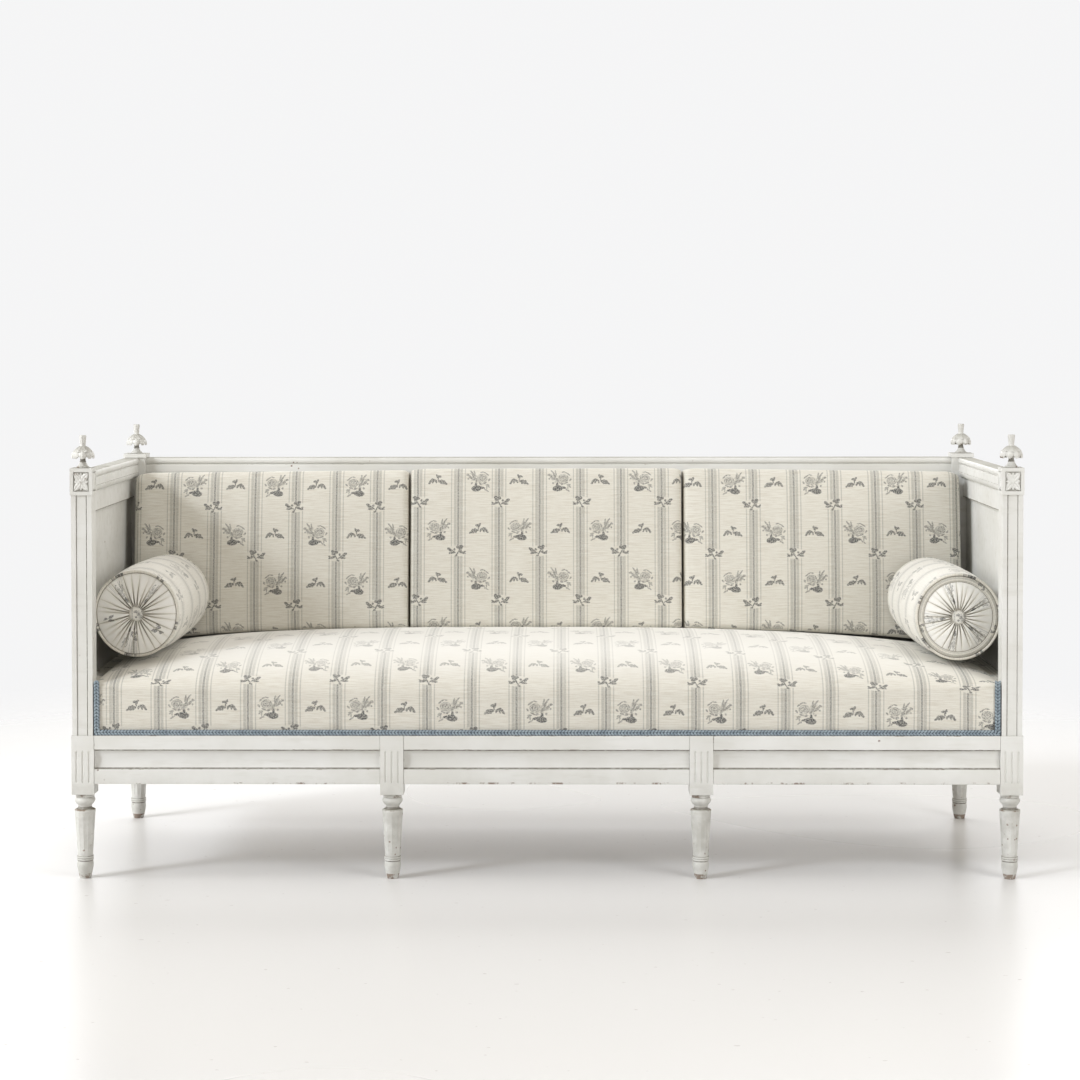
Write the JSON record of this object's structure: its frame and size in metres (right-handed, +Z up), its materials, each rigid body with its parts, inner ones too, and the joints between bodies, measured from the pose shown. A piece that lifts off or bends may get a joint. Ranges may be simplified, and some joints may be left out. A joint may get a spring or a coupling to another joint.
{
  "type": "gustavian sofa",
  "caption": "Painted wooden sofa with panelled arms and back, turned legs, carved finials, a crowned upholstered seat, loose back cushions and round bolsters.",
  "frame": {"origin": "on the floor under the middle of the sofa", "axes": "+X to the right as seen from the front, +Y to the back, +Z up"},
  "size_m": [1.959, 0.668, 0.9153],
  "materials": {
    "painted_wood": "worn satin paint",
    "woven_fabric": "striped woven cotton",
    "braid": "plaited braid",
    "jute": "coarse webbing",
    "bare_wood": "unpainted pine"
  },
  "bodies": {
    "frame": {"arm_panel_left": "painted_wood", "arm_panel_right": "painted_wood", "arm_rail_left": "painted_wood", "arm_rail_right": "painted_wood", "back_panel_centre": "painted_wood", "back_panel_left": "painted_wood", "back_panel_right": "painted_wood", "back_rail": "painted_wood", "back_stile_left": "painted_wood", "back_stile_right": "painted_wood", "front_finial_left": "painted_wood", "front_finial_right": "painted_wood", "front_leg_left": "painted_wood", "front_leg_right": "painted_wood", "front_post_left": "painted_wood", "front_post_right": "painted_wood", "front_rail_centre": "painted_wood", "front_rail_left": "painted_wood", "front_rail_right": "painted_wood", "front_stile_left": "painted_wood", "front_stile_right": "painted_wood", "inner_leg_left": "painted_wood", "inner_leg_right": "painted_wood", "rear_cap_left": "painted_wood", "rear_cap_right": "painted_wood", "rear_finial_left": "painted_wood", "rear_finial_right": "painted_wood", "rear_leg_left": "painted_wood", "rear_leg_right": "painted_wood", "rear_post_left": "painted_wood", "rear_post_right": "painted_wood", "rear_rail": "painted_wood", "rosette_front_left": "painted_wood", "rosette_front_right": "painted_wood", "rosette_inner_left": "painted_wood", "rosette_inner_right": "painted_wood", "rosette_outer_left": "painted_wood", "rosette_outer_right": "painted_wood", "seat_brace_left": "bare_wood", "seat_brace_right": "bare_wood", "seat_braid": "braid", "seat_upholstery": "woven_fabric", "seat_webbing": "jute", "side_rail_left": "painted_wood", "side_rail_right": "painted_wood"},
    "back_cushion_left": {"back_cushion_left": "woven_fabric"},
    "back_cushion_centre": {"back_cushion_centre": "woven_fabric"},
    "back_cushion_right": {"back_cushion_right": "woven_fabric"},
    "bolster_left": {"bolster_left": "woven_fabric", "bolster_button_front_left": "woven_fabric", "bolster_button_rear_left": "woven_fabric"},
    "bolster_right": {"bolster_right": "woven_fabric", "bolster_button_front_right": "woven_fabric", "bolster_button_rear_right": "woven_fabric"}
  },
  "joints": [
    {"name": "back_cushion_left_lift", "type": "slide", "parent": "frame", "child": "back_cushion_left", "axis": [0, 0, 1], "range_m": [0, 0.45]},
    {"name": "back_cushion_centre_lift", "type": "slide", "parent": "frame", "child": "back_cushion_centre", "axis": [0, 0, 1], "range_m": [0, 0.45]},
    {"name": "back_cushion_right_lift", "type": "slide", "parent": "frame", "child": "back_cushion_right", "axis": [0, 0, 1], "range_m": [0, 0.45]},
    {"name": "bolster_left_lift", "type": "slide", "parent": "frame", "child": "bolster_left", "axis": [0.7071, 0, 0.7071], "range_m": [0, 0.4]},
    {"name": "bolster_right_lift", "type": "slide", "parent": "frame", "child": "bolster_right", "axis": [-0.7071, 0, 0.7071], "range_m": [0, 0.4]}
  ]
}
